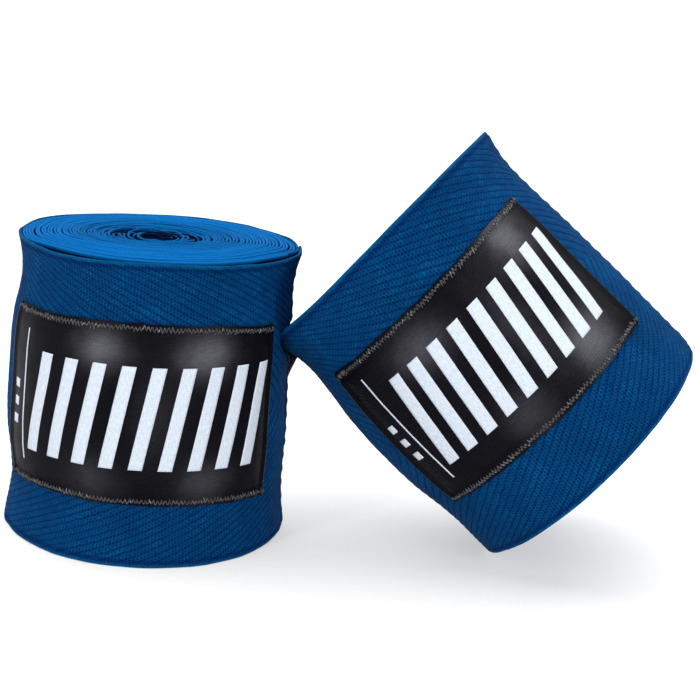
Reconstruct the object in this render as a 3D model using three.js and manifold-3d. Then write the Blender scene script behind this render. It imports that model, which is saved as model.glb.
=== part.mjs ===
// A matched pair of rolled hand wraps: one stands on its edge, the other leans on it.
// Each wrap is one long cloth strip rolled from its thumb loop outwards and held shut by a
// hook-and-loop closure at the outer end, with a sewn-on label. Millimetres, +Z up, labels facing -Y.
import * as THREE from "three";
import { mergeVertices } from "three/addons/utils/BufferGeometryUtils.js";
import Module from "manifold-3d";

// ---- driving dimensions (mm, degrees) ----
const STRIP_WIDTH = 50.8; // 2 inch cloth
const STRIP_THICK = 0.32; // one layer of cloth, with air left between the turns
const TURN_PITCH = 0.532; // radial growth of the roll in one turn
const CORE_R = 3.0; // hollow eye at the middle of the roll
const FACETS = 14; // facets in one turn; the outermost turn has twice as many
const ROOT_AZ = -80; // where the closure end leaves the roll, from the front, positive to the right
const FREE_AZ = 86; // free end of the closure
const LABEL_AZ = [-62, 50];
const LABEL_THICK = 0.3;
const TAPE_Z = [8, 42.8]; // height band of the hook and loop tapes
const LOOP_AZ = [-44, 74];
const HOOK_AZ = [-48, 88];
const TAPE_GAP = 0.26;
const THREAD = 0.7; // width of a stitched border
const LEFT = { flapR: 24.4, labelZ: [10.3, 40.7] };
const RIGHT = { flapR: 25.1, labelZ: [12.6, 43.0] };
// The leaning wrap's rim presses the standing wrap's right side flat.
const PRESS_FROM_X = 12;
const PRESS_RATIO = 0.81;
// Pose of the leaning wrap: lean from upright, heading of its axis, turn about its axis, foot point
const LEAN = 50.36;
const HEADING = 168.45;
const ROLL_TURN = 8.3;
const FOOT = [78.55, -8.1];
const FOOT_SHIFT = 0.41; // along its own axis

const rad = THREE.MathUtils.degToRad;

const wasm = await Module();
wasm.setup();

const fabricBlue = () =>
  new THREE.MeshStandardMaterial({ color: 0x0f5aa0, roughness: 0.92, metalness: 0 });
const blueTape = () =>
  new THREE.MeshStandardMaterial({ color: 0x0b4a8c, roughness: 0.98, metalness: 0 });
const blackTape = () =>
  new THREE.MeshStandardMaterial({ color: 0x121216, roughness: 0.8, metalness: 0 });
const satin = () =>
  new THREE.MeshStandardMaterial({ color: 0x17181f, roughness: 0.45, metalness: 0 });
const thread = () =>
  new THREE.MeshStandardMaterial({ color: 0x2c2e36, roughness: 0.7, metalness: 0 });
const blueThread = () =>
  new THREE.MeshStandardMaterial({ color: 0x0d4f93, roughness: 0.85, metalness: 0 });

// Plan point at azimuth az (0 = front, -Y; positive towards +X) and radius r.
const polar = (az, r) => [r * Math.sin(rad(az)), -r * Math.cos(rad(az))];
const pressed = ([x, y]) => [
  x > PRESS_FROM_X ? PRESS_FROM_X + (x - PRESS_FROM_X) * PRESS_RATIO : x,
  y,
];

// A closed plan outline extruded upright.
function upright(points, z0, z1) {
  const shape = new THREE.Shape(points.map(([x, y]) => new THREE.Vector2(x, y)));
  const geometry = new THREE.ExtrudeGeometry(shape, {
    depth: z1 - z0,
    bevelEnabled: false,
    steps: 1,
  });
  geometry.translate(0, 0, z0);
  return geometry;
}

// Outline of a band between two radii that may vary with azimuth.
function band(inner, outer, az0, az1, steps, warp) {
  const out = [];
  for (let i = 0; i <= steps; i++) {
    const az = az0 + ((az1 - az0) * i) / steps;
    out.push(warp(polar(az, typeof outer === "function" ? outer(az) : outer)));
  }
  for (let i = steps; i >= 0; i--) {
    const az = az0 + ((az1 - az0) * i) / steps;
    out.push(warp(polar(az, typeof inner === "function" ? inner(az) : inner)));
  }
  return out;
}

function toManifold(geometry) {
  const g = geometry.clone();
  g.deleteAttribute("normal");
  g.deleteAttribute("uv");
  const merged = mergeVertices(g, 1e-3);
  return new wasm.Manifold(
    new wasm.Mesh({
      numProp: 3,
      vertProperties: new Float32Array(merged.attributes.position.array),
      triVerts: new Uint32Array(merged.index.array),
    }),
  );
}

function fromManifold(solid) {
  const m = solid.getMesh();
  return new THREE.BufferGeometry()
    .setAttribute("position", new THREE.BufferAttribute(new Float32Array(m.vertProperties), 3))
    .setIndex(new THREE.BufferAttribute(new Uint32Array(m.triVerts), 1));
}

// A stitched border: a curved rectangular frame around a tape.
function border(r0, r1, az, z, r, warp) {
  const gap = 0.15;
  const da = (w) => THREE.MathUtils.radToDeg(w / r);
  const outer = upright(
    band(r0, r1, az[0] - da(gap + THREAD), az[1] + da(gap + THREAD), 14, warp),
    z[0] - gap - THREAD,
    z[1] + gap + THREAD,
  );
  const inner = upright(
    band(r0 - 1, r1 + 1, az[0] - da(gap), az[1] + da(gap), 14, warp),
    z[0] - gap,
    z[1] + gap,
  );
  return fromManifold(toManifold(outer).subtract(toManifold(inner)));
}

function mesh(name, geometry, material) {
  const m = new THREE.Mesh(geometry, material);
  m.name = name;
  return m;
}

function buildWrap(side, { flapR, labelZ }, warp) {
  const half = STRIP_THICK / 2;
  const under = flapR - 2.45; // centre radius of the turn beneath the closure
  const turns = (under - CORE_R) / TURN_PITCH;
  const endAz = ROOT_AZ - 1.1; // roll ends just before the closure starts
  const meetAz = endAz - (360 - (FREE_AZ - ROOT_AZ)); // azimuth of the free end, one turn down
  const step = 360 / FACETS;

  // Rolled strip: steady pitch up to the free end's azimuth, then easing out to the closure's radius.
  const centre = (az) => {
    if (az <= meetAz) return under + (TURN_PITCH * (az - meetAz)) / 360;
    const t = (az - meetAz) / (endAz - meetAz);
    return under + (flapR - under) * t * t * (3 - 2 * t);
  };
  const startAz = meetAz - Math.floor(turns) * 360;
  const azimuths = [];
  for (let az = startAz; az < meetAz - 1e-6; az += step) azimuths.push(az);
  for (let az = meetAz; az < endAz - 1e-6; az += step / 2) azimuths.push(az);
  azimuths.push(endAz);
  const outline = azimuths.map((az) => warp(polar(az, centre(az) + half)));
  for (const az of [...azimuths].reverse()) outline.push(warp(polar(az, centre(az) - half)));

  const wrap = new THREE.Group();
  wrap.add(mesh(`${side}_cloth_roll`, upright(outline, 0, STRIP_WIDTH), fabricBlue()));

  // Loop tape on the turn beneath the closure.
  const loopR0 = under + half + TAPE_GAP;
  const loopR1 = loopR0 + 0.5;
  wrap.add(
    mesh(`${side}_loop_tape`, upright(band(loopR0, loopR1, ...LOOP_AZ, 14, warp), ...TAPE_Z), blueTape()),
    mesh(
      `${side}_loop_tape_stitching`,
      border(loopR0, loopR1 - 0.1, LOOP_AZ, TAPE_Z, loopR1, warp),
      blueThread(),
    ),
  );

  // Thumb loop folded flat inside the eye of the roll, and the bar tack at its base.
  const loopShape = new THREE.Shape();
  const w = 1.75;
  const d = 0.75;
  loopShape.absellipse(0, 0, w, d, 0, Math.PI * 2, false, 0);
  const hole = new THREE.Path();
  hole.absellipse(0, 0, w - 0.35, d - 0.35, 0, Math.PI * 2, true, 0);
  loopShape.holes.push(hole);
  const thumb = new THREE.ExtrudeGeometry(loopShape, {
    depth: 18,
    bevelEnabled: false,
    steps: 1,
    curveSegments: 12,
  });
  thumb.translate(-0.1, -0.15, 16);
  const tack = new THREE.BoxGeometry(1.6, 0.4, 12);
  tack.translate(-0.1, 1.05, 25);
  wrap.add(
    mesh(`${side}_thumb_loop`, thumb, fabricBlue()),
    mesh(`${side}_thumb_loop_bar_tack`, tack, blueThread()),
  );

  // Closure: the outer end of the strip with everything sewn to it.
  const closure = new THREE.Group();
  const flapIn = flapR - 0.2;
  const flapOut = flapR + 0.2;
  const hookR1 = flapIn - TAPE_GAP;
  const hookR0 = hookR1 - 0.45;
  const labelR0 = flapOut + TAPE_GAP;
  const labelR1 = labelR0 + LABEL_THICK;
  closure.add(
    mesh(
      `${side}_closure_end`,
      upright(band(flapIn, flapOut, ROOT_AZ, FREE_AZ, 20, warp), 0, STRIP_WIDTH),
      fabricBlue(),
    ),
    mesh(
      `${side}_end_hem`,
      upright(band(labelR0, labelR0 + 0.25, FREE_AZ - 8, FREE_AZ, 2, warp), 1.0, STRIP_WIDTH - 1.0),
      fabricBlue(),
    ),
    mesh(
      `${side}_end_hem_stitching`,
      upright(
        band(labelR0, labelR0 + 0.25, FREE_AZ - 10.2, FREE_AZ - 8.6, 2, warp),
        1.6,
        STRIP_WIDTH - 1.6,
      ),
      blueThread(),
    ),
    mesh(`${side}_hook_tape`, upright(band(hookR0, hookR1, ...HOOK_AZ, 16, warp), ...TAPE_Z), blackTape()),
    mesh(
      `${side}_hook_tape_stitching`,
      border(hookR0 + 0.1, hookR1, HOOK_AZ, TAPE_Z, hookR1, warp),
      thread(),
    ),
    mesh(
      `${side}_label`,
      upright(band(labelR0, labelR1, ...LABEL_AZ, 16, warp), ...labelZ),
      satin(),
    ),
    mesh(
      `${side}_label_stitching_top`,
      upright(
        band(labelR0, labelR1, ...LABEL_AZ, 16, warp),
        labelZ[1] + 0.15,
        labelZ[1] + 0.15 + THREAD,
      ),
      thread(),
    ),
    mesh(
      `${side}_label_stitching_bottom`,
      upright(
        band(labelR0, labelR1, ...LABEL_AZ, 16, warp),
        labelZ[0] - 0.15 - THREAD,
        labelZ[0] - 0.15,
      ),
      thread(),
    ),
  );
  wrap.add(closure);
  return wrap;
}

const part = new THREE.Group();
const left = buildWrap("left", LEFT, pressed);
part.add(left);

const right = buildWrap("right", RIGHT, (p) => p);
const axis = new THREE.Vector3(
  Math.sin(rad(LEAN)) * Math.cos(rad(HEADING)),
  Math.sin(rad(LEAN)) * Math.sin(rad(HEADING)),
  Math.cos(rad(LEAN)),
);
const front = new THREE.Vector3(0, -1, 0);
front.addScaledVector(axis, -front.dot(axis)).normalize();
const sideways = new THREE.Vector3().crossVectors(axis, front);
const face = front
  .clone()
  .multiplyScalar(Math.cos(rad(ROLL_TURN)))
  .addScaledVector(sideways, Math.sin(rad(ROLL_TURN)));
const yAxis = face.clone().negate();
const xAxis = new THREE.Vector3().crossVectors(yAxis, axis);
right.quaternion.setFromRotationMatrix(new THREE.Matrix4().makeBasis(xAxis, yAxis, axis));
right.position.set(FOOT[0], FOOT[1], 0).addScaledVector(axis, FOOT_SHIFT);
part.add(right);

// Lower the leaning wrap until its rim just rests on the ground, then centre the pair on the origin.
part.updateMatrixWorld(true);
const rightBox = new THREE.Box3().setFromObject(right, true);
right.position.z -= rightBox.min.z;
part.updateMatrixWorld(true);
const box = new THREE.Box3().setFromObject(part, true);
for (const wrap of [left, right]) {
  wrap.position.x -= (box.min.x + box.max.x) / 2;
  wrap.position.y -= (box.min.y + box.max.y) / 2;
}

export default part;
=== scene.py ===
# A pair of rolled hand wraps: the cloth, tapes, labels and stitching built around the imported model.
import math

import bpy
import numpy as np
from mathutils import Matrix, Vector


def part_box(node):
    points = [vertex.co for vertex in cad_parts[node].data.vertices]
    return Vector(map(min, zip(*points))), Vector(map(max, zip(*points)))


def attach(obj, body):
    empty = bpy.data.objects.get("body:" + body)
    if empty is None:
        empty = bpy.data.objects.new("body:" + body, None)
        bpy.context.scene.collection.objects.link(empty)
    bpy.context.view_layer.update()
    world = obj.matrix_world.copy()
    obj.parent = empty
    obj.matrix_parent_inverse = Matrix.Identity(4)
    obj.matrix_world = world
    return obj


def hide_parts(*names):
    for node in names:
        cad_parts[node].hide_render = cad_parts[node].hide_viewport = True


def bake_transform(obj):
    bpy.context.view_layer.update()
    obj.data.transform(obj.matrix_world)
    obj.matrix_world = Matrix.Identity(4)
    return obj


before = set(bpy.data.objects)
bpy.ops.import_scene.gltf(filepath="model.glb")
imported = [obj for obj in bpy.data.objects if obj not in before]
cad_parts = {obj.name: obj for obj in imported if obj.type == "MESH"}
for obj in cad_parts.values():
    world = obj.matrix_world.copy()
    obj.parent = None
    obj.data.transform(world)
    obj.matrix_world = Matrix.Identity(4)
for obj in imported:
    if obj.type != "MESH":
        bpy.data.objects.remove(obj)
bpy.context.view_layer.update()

H = 50.8  # cloth width, mm
TAU = 2 * math.pi


# ------------------------------------------------------------------ small helpers
def sstep(a, b, x):
    t = np.clip((np.asarray(x, float) - a) / (b - a), 0, 1)
    return t * t * (3 - 2 * t)


class Noise:
    """Smooth seeded noise from -1 to 1 on a plane."""

    def __init__(self, seed):
        self.t = np.random.RandomState(seed).uniform(-1, 1, (64, 64))

    def __call__(self, x, y):
        x, y = np.broadcast_arrays(np.asarray(x, float), np.asarray(y, float))
        xi, yi = np.floor(x).astype(int), np.floor(y).astype(int)
        fx, fy = x - xi, y - yi
        fx = fx * fx * fx * (fx * (fx * 6 - 15) + 10)
        fy = fy * fy * fy * (fy * (fy * 6 - 15) + 10)
        g = lambda i, j: self.t[i % 64, j % 64]
        a = g(xi, yi) * (1 - fx) + g(xi + 1, yi) * fx
        b = g(xi, yi + 1) * (1 - fx) + g(xi + 1, yi + 1) * fx
        return a * (1 - fy) + b * fy


COLUMN = 0.56  # spacing of the floats along the strip, mm
RIB = 1.30  # spacing of the dashes along a column, mm
TWILL = 2.6  # spacing of the broad ribs, mm
RIB_BEND = 0.03


def rib_height(u, v):
    """Herringbone ribs of the cloth, 0 to 1; u runs along the strip."""
    t = np.abs(v - H / 2)
    return 0.5 - 0.5 * np.cos(TAU * (u + t + RIB_BEND * t * t) / TWILL)


# ------------------------------------------------------------------ the two wraps
class Wrap:
    def __init__(self, side, origin, xa, ya, za, seed):
        self.side = side
        self.o = np.array(origin)
        self.m = np.array([xa, ya, za])
        self.seed = seed
        self.n1, self.n2, self.n3, self.n4 = (Noise(seed + i) for i in range(4))
        self.body = side + "_wrap"
        self.flap = side + "_closure"
        self.left = side == "left"
        self.h = 51.1 if self.left else 52.9
        self.z0 = 0.0 if self.left else -0.2

    def world(self, p):
        """Local millimetres to row-frame millimetres."""
        return self.o + np.asarray(p) @ self.m

    def direction(self, v):
        return np.asarray(v, float) @ self.m


LEFT = Wrap("left", (-35.163662, 4.812091, 0.0), (1, 0, 0), (0, 1, 0), (0, 0, 1), 11)
RIGHT = Wrap(
    "right",
    (43.0770034655, -3.2246929820, 19.3388100546),
    (0.6559158851, 0.1426299813, 0.7412361567),
    (0.0232952744, 0.9776929835, -0.2087432879),
    (-0.7544744408, 0.1541853381, 0.6379617541),
    47,
)


def local(az, r, z):
    a = np.radians(az)
    az_, r_, z_ = np.broadcast_arrays(a, r, z)
    return np.stack([r_ * np.sin(az_), -r_ * np.cos(az_), z_.astype(float)], -1)


# Outer radius of each wrap up its height, where the closure's left and right sides are.
LEFT_Z = [-1, 0, 1.5, 4, 8, 13, 17, 21, 28, 34, 38, 41, 44, 47, 49.3, 50.8, 52]
LEFT_L = [25.0, 25.0, 24.8, 24.3, 23.85, 24.35, 25.0, 25.15, 24.95, 24.8, 24.4, 23.75, 23.3, 23.3, 23.7, 24.2, 24.3]
LEFT_R = [25.0, 25.0, 24.8, 24.4, 24.15, 24.2, 24.3, 24.15, 23.9, 24.0, 23.9, 23.75, 23.6, 23.9, 24.5, 24.9, 25.0]
LEFT_B = [24.8, 24.8, 24.6, 24.2, 23.9, 23.9, 23.95, 24.0, 24.0, 24.0, 23.95, 23.9, 23.95, 24.1, 24.5, 24.85, 24.95]
LEFT_F = [26.4, 26.3, 25.7, 24.8, 24.0, 24.3, 24.7, 24.8, 24.8, 24.75, 24.5, 24.1, 23.8, 23.9, 24.4, 24.9, 25.0]
RIGHT_Z = [-1, -0.2, 1.3, 3.5, 7, 12, 17, 22, 28, 35, 40, 44, 46.5, 48.9, 50.8, 52.0, 53.0]
RIGHT_L = [25.8, 25.8, 25.8, 25.75, 25.7, 26.1, 26.7, 26.85, 26.7, 26.2, 25.3, 24.75, 24.7, 24.95, 25.35, 25.5, 25.55]
RIGHT_R = [25.6, 25.6, 25.8, 25.8, 25.8, 25.8, 25.8, 25.7, 25.6, 25.6, 25.4, 25.3, 25.4, 25.7, 26.2, 26.5, 26.6]
RIGHT_F = [25.55, 25.5, 25.4, 25.1, 24.9, 25.0, 25.3, 25.4, 25.45, 25.4, 25.15, 24.8, 24.7, 24.8, 25.2, 25.6, 25.7]
RIGHT_B = [25.4, 25.4, 25.2, 24.9, 24.7, 24.7, 24.75, 24.8, 24.8, 24.75, 24.7, 24.65, 24.7, 24.9, 25.3, 25.6, 25.7]


def curve(z, zs, rs):
    """Smooth interpolation of a profile."""
    z = np.asarray(z, float)
    e = 0.7
    return (np.interp(z - e, zs, rs) + 2 * np.interp(z, zs, rs) + np.interp(z + e, zs, rs)) / 4


def gap_to_right(p):
    """Distance in mm from row-frame points to the leaning wrap, negative inside it."""
    q = (p - RIGHT.o) @ RIGHT.m.T
    rad = np.hypot(q[..., 0], q[..., 1])
    e = 0.9
    dx = rad - (25.55 - e)
    dz = np.abs(q[..., 2] - 26.5) - (26.9 - e)
    return np.minimum(np.maximum(dx, dz), 0) + np.hypot(np.maximum(dx, 0), np.maximum(dz, 0)) - e


def room(w, az, z):
    """Space between the closure and the turn beneath it, taken up by the tapes, mm."""
    tapes = sstep(5.5, 9.0, z - w.z0) * (1 - sstep(41.5, 46.0, z - w.z0))
    a = sstep(-78, -52, az)
    f = sstep(-88, -40, az) * (1 - sstep(52, 84, az))
    return a * (1.42 * tapes + (1 - tapes) * f * (2.0 if w.left else 0.5))


def outermost(w, az, z):
    """Outer radius of the cloth from the back (-270) to the free end of the closure (+90), before
    anything presses on it."""
    az, z = np.broadcast_arrays(np.asarray(az, float), np.asarray(z, float))
    zs, lf, rt_, fr, bk = (LEFT_Z, LEFT_L, LEFT_R, LEFT_F, LEFT_B) if w.left else (RIGHT_Z, RIGHT_L, RIGHT_R, RIGHT_F, RIGHT_B)
    a, b, c, back = curve(z, zs, lf), curve(z, zs, fr), curve(z, zs, rt_), curve(z, zs, bk)
    front = a + (b - a) * sstep(-88, -10, az) + (c - b) * sstep(5, 82, az)
    r = back + (front - back) * sstep(-128, -88, az)
    r = r + 0.10 * w.n1(az / 17.0, z / 13.0) + 0.05 * w.n2(az / 7.0, z / 6.0)
    edge = np.exp(-(np.minimum(z - w.z0, w.z0 + w.h - z) / 2.2) ** 2)
    return r + edge * (0.13 * w.n3(az / 13.0, z * 0 + (z > 25) * 7.3) + 0.06 * w.n4(az / 5.0, (z > 25) * 3.1))


def pressed(w, r, az, z):
    """The same radius once the leaning wrap or the floor has pushed it in."""
    az, z = np.broadcast_arrays(np.asarray(az, float), np.asarray(z, float))
    if w.left:
        lean = np.where(np.cos(np.radians(az - 88)) > 0.2, 1.0, 0.0)
        for _ in range(4):
            d = gap_to_right(w.world(local(az, r, z)))
            k = 0.35
            push = k * np.logaddexp(0, (0.12 - d) / k)
            push = np.where(d > 3, 0, push)
            r = r - 0.55 * push * lean * (push > 0.02)
    else:
        a = np.radians(az)
        kk = np.sin(a) * w.m[0][2] - np.cos(a) * w.m[1][2]
        base = w.o[2] + z * w.m[2][2] - 0.03
        lim = np.where(kk < -0.05, base / np.maximum(-kk, 0.05), 99.0)
        k = 0.12
        r = r - k * np.logaddexp(0, (r - lim) / k)
    return r


def radius(w, az, z):
    """Outer radius of the outermost turn, az from -290 (its inner end, beneath the closure) by the
    back to +90, with what touches it pressing it in."""
    az, z = np.broadcast_arrays(np.asarray(az, float), np.asarray(z, float))
    r = pressed(w, outermost(w, az, z), az, z)
    if az.size and az.min() < -214:
        # the start of the turn lies under the closure's free end and climbs out past it
        over = np.minimum(az + 360, 90.0)
        over = np.where(az < -180, over, 90.0)
        u = pressed(w, outermost(w, over, z), over, z) - 0.55 - room(w, over, z)
        k = sstep(-272, -215, az)
        r = np.where(az < -180, u + (r - u) * k, r)
    return r


# ------------------------------------------------------------------ mesh makers
def new_object(name, verts_mm, faces, attrs=None, flat_faces=0):
    """Mesh object from row-frame millimetres. faces is a list of index arrays, each one row a face."""
    v = np.asarray(verts_mm, float) * 0.001
    vol = 0.0
    for f in faces:
        f = np.asarray(f)
        for j in range(1, f.shape[1] - 1):
            a, b, c = v[f[:, 0]], v[f[:, j]], v[f[:, j + 1]]
            vol += float(np.einsum("ij,ij->i", a, np.cross(b, c)).sum())
    if vol < 0:
        faces = [np.asarray(f)[:, ::-1] for f in faces]
    loops = np.concatenate([np.asarray(f).ravel() for f in faces]).astype(np.int32)
    sizes = np.concatenate([np.full(len(f), np.asarray(f).shape[1]) for f in faces])
    starts = np.concatenate([[0], np.cumsum(sizes)[:-1]]).astype(np.int32)
    me = bpy.data.meshes.new(name)
    me.vertices.add(len(v))
    me.vertices.foreach_set("co", v.astype(np.float32).ravel())
    me.loops.add(len(loops))
    me.loops.foreach_set("vertex_index", loops)
    me.polygons.add(len(starts))
    me.polygons.foreach_set("loop_start", starts)
    smooth = np.ones(len(starts), bool)
    me.polygons.foreach_set("use_smooth", smooth)
    me.update(calc_edges=True)
    for key, val in (attrs or {}).items():
        val = np.asarray(val, np.float32)
        if val.ndim == 1:
            me.attributes.new(key, "FLOAT", "POINT").data.foreach_set("value", val)
        else:
            me.attributes.new(key, "FLOAT_VECTOR", "POINT").data.foreach_set("vector", val.ravel())
    o = bpy.data.objects.new(name, me)
    bpy.context.scene.collection.objects.link(o)
    return o


def loops_mesh(P):
    """Faces of a closed tube through loops P of shape (n, k, 3), with fan-free caps."""
    n, k = P.shape[:2]
    i = np.arange(n - 1)[:, None] * k
    j = np.arange(k)[None, :]
    j2 = (j + 1) % k
    quads = np.stack([i + j, i + k + j, i + k + j2, i + j2], -1).reshape(-1, 4)
    cap0 = np.arange(k)[None, :]
    cap1 = ((n - 1) * k + np.arange(k))[::-1][None, :]
    return [quads, cap0, cap1]


def profile(z0, z1, thick, n_out, n_in, lip=0.0, lip_w=0.9, edge=None):
    """Closed cross-section of a sheet standing upright: offsets from the sheet's middle and heights.
    lip thickens the two long edges inwards, as a bound edge is."""
    e = thick * 0.5 if edge is None else edge
    zo = np.linspace(z0 + e, z1 - e, n_out)
    zi = z1 - e - (z1 - z0 - 2 * e) * (0.5 - 0.5 * np.cos(np.linspace(0, math.pi, n_in)))
    grow = lambda z: lip * (np.exp(-(((z1 - z) / lip_w) ** 2)) + np.exp(-(((z - z0) / lip_w) ** 2)))
    hi = thick / 2 + grow(zi)
    up = np.radians([68, 45, 20, 0, -20, -45, -68])
    he = thick / 2 + float(grow(np.array(z1 - e)))
    mid, half = (thick / 2 - he) / 2, (thick / 2 + he) / 2
    off = np.concatenate([np.full(n_out, thick / 2), mid + half * np.sin(up), -hi, mid + half * np.sin(-up)])
    z = np.concatenate([zo, z1 - e + e * np.cos(up), zi, z0 + e - e * np.cos(up)])
    return off, z


def sheet_on(w, name, az0, az1, z0, z1, lift, thick, du=0.8, dz=0.8, bump=None, ends=None, edge_wave=0.0, seed=0, attrs=True, n_in=None, out_of=None):
    """A thin closed sheet that follows the outermost turn: lift is the gap from the turn's outer face
    to the sheet's inner face, or below it when negative."""
    n = max(4, int(abs(az1 - az0) * 0.43 / du) + 1)
    az = np.linspace(az0, az1, n)
    n_out = max(4, int((z1 - z0) / dz) + 1)
    off, z = profile(z0, z1, thick, n_out, n_in or max(4, n_out // 2))
    A, Z = np.meshgrid(az, z, indexing="ij")
    if edge_wave:
        nz = Noise(900 + seed)
        top = edge_wave * nz(A / 6.0, 0.3)
        bot = edge_wave * nz(A / 6.0, 9.3)
        f = (Z - z0) / (z1 - z0)
        Z = Z + (top + label_top(w, A)) * f + (bot + label_bottom(w, A)) * (1 - f)
    OFF = np.broadcast_to(off, A.shape)
    R = radius(w, A, Z) + lift + thick / 2
    if bump is not None:
        R = R + bump(A, Z)
    if ends is not None:
        # rounded ends: thickness closes over the last fraction of a millimetre
        s = np.minimum(A - az0, az1 - A) * 0.43
        shut = np.sqrt(np.clip(1 - (1 - np.clip(s / ends, 0, 1)) ** 2, 0.04, 1))
        OFF = OFF * shut
    P = w.world(local(A, R + OFF, Z))
    u = A * math.radians(1) * 24.6
    at = {"strip": np.stack([u, Z, OFF], -1).reshape(-1, 3)} if attrs else None
    return new_object(name, P.reshape(-1, 3), loops_mesh(P), at)


def capsules(w, name, U, V, lift, rad, sides=8, tone=None, squash=0.75, arch=None, surf=None):
    """Stitches: each row of U (azimuth, degrees) and V (height) is one thread's path on the surface."""
    U, V = np.asarray(U, float), np.asarray(V, float)
    m, p = U.shape
    rad = np.broadcast_to(np.asarray(rad, float), (m, p))
    lift = np.broadcast_to(np.asarray(lift, float), (m, p))
    base = radius(w, U, V) if surf is None else surf(U, V)
    C = local(U, base + lift, V)
    T = np.gradient(C, axis=1)
    T /= np.linalg.norm(T, axis=-1, keepdims=True)
    a = np.radians(U)
    N = np.stack([np.sin(a), -np.cos(a), a * 0], -1)
    B = np.cross(T, N)
    B /= np.linalg.norm(B, axis=-1, keepdims=True)
    N = np.cross(B, T)
    th = np.arange(sides) / sides * TAU
    ring = (
        C[:, :, None, :]
        + rad[:, :, None, None] * (np.cos(th)[None, None, :, None] * B[:, :, None, :] + squash * np.sin(th)[None, None, :, None] * N[:, :, None, :])
    )
    P = w.world(ring)  # m, p, s, 3
    k = sides
    base_i = (np.arange(m) * p * k)[:, None, None]
    i = (np.arange(p - 1) * k)[None, :, None]
    j = np.arange(k)[None, None, :]
    j2 = (j + 1) % k
    quads = np.stack(np.broadcast_arrays(base_i + i + j, base_i + i + k + j, base_i + i + k + j2, base_i + i + j2), -1).reshape(-1, 4)
    c0 = (np.arange(m) * p * k)[:, None] + np.arange(k)[None, :]
    c1 = ((np.arange(m) * p + p - 1) * k)[:, None] + np.arange(k)[None, ::-1]
    at = {"strip": np.stack([np.repeat((U * 0.43)[:, :, None], k, 2), np.repeat(V[:, :, None], k, 2), np.zeros((m, p, k))], -1).reshape(-1, 3)}
    if tone is not None:
        at["tone"] = np.repeat(np.asarray(tone, float), p * k)
    return new_object(name, P.reshape(-1, 3), [quads, c0, c1], at)


# ------------------------------------------------------------------ node helpers
class Nodes:
    def __init__(self, name):
        self.mat = bpy.data.materials.new(name)
        self.mat.use_nodes = True
        self.nt = self.mat.node_tree
        self.bsdf = next(n for n in self.nt.nodes if n.type == "BSDF_PRINCIPLED")
        self.out = next(n for n in self.nt.nodes if n.type == "OUTPUT_MATERIAL")

    def new(self, kind, **kw):
        n = self.nt.nodes.new(kind)
        for k, v in kw.items():
            setattr(n, k, v)
        return n

    def put(self, sock, val):
        if isinstance(val, bpy.types.NodeSocket):
            self.nt.links.new(val, sock)
        else:
            sock.default_value = val

    def math(self, op, a, b=None, c=None, clamp=False):
        n = self.new("ShaderNodeMath", operation=op, use_clamp=clamp)
        self.put(n.inputs[0], a)
        if b is not None:
            self.put(n.inputs[1], b)
        if c is not None:
            self.put(n.inputs[2], c)
        return n.outputs[0]

    def ramp(self, x, lo, hi, a=0.0, b=1.0, smooth=True):
        n = self.new("ShaderNodeMapRange", interpolation_type="SMOOTHSTEP" if smooth else "LINEAR")
        self.put(n.inputs["Value"], x)
        for k, v in zip(("From Min", "From Max", "To Min", "To Max"), (lo, hi, a, b)):
            self.put(n.inputs[k], v)
        return n.outputs[0]

    def attribute(self, name):
        return self.new("ShaderNodeAttribute", attribute_name=name, attribute_type="GEOMETRY")

    def split(self, vec):
        n = self.new("ShaderNodeSeparateXYZ")
        self.put(n.inputs[0], vec)
        return n.outputs

    def join(self, x, y, z=0.0):
        n = self.new("ShaderNodeCombineXYZ")
        for s, v in zip(n.inputs, (x, y, z)):
            self.put(s, v)
        return n.outputs[0]

    def noise(self, vec, scale, detail=2.0, rough=0.5):
        n = self.new("ShaderNodeTexNoise", noise_dimensions="3D")
        self.put(n.inputs["Vector"], vec)
        n.inputs["Scale"].default_value = scale
        n.inputs["Detail"].default_value = detail
        n.inputs["Roughness"].default_value = rough
        return n.outputs["Fac"]

    def mix(self, f, a, b, blend="MIX"):
        n = self.new("ShaderNodeMix", data_type="RGBA", blend_type=blend)
        self.put(n.inputs["Factor"], f)
        for sock, val in ((n.inputs[6], a), (n.inputs[7], b)):
            self.put(sock, val if isinstance(val, bpy.types.NodeSocket) else tuple(val) + ((1.0,) if len(val) == 3 else ()))
        return n.outputs[2]

    def bump(self, height, dist, strength=1.0, normal=None):
        n = self.new("ShaderNodeBump")
        n.inputs["Strength"].default_value = strength
        n.inputs["Distance"].default_value = dist
        self.put(n.inputs["Height"], height)
        if normal is not None:
            self.put(n.inputs["Normal"], normal)
        return n.outputs[0]


def srgb(r, g, b):
    f = lambda c: c / 12.92 if c <= 0.04045 else ((c + 0.055) / 1.055) ** 2.4
    return tuple(f(c / 255) for c in (r, g, b))


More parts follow.
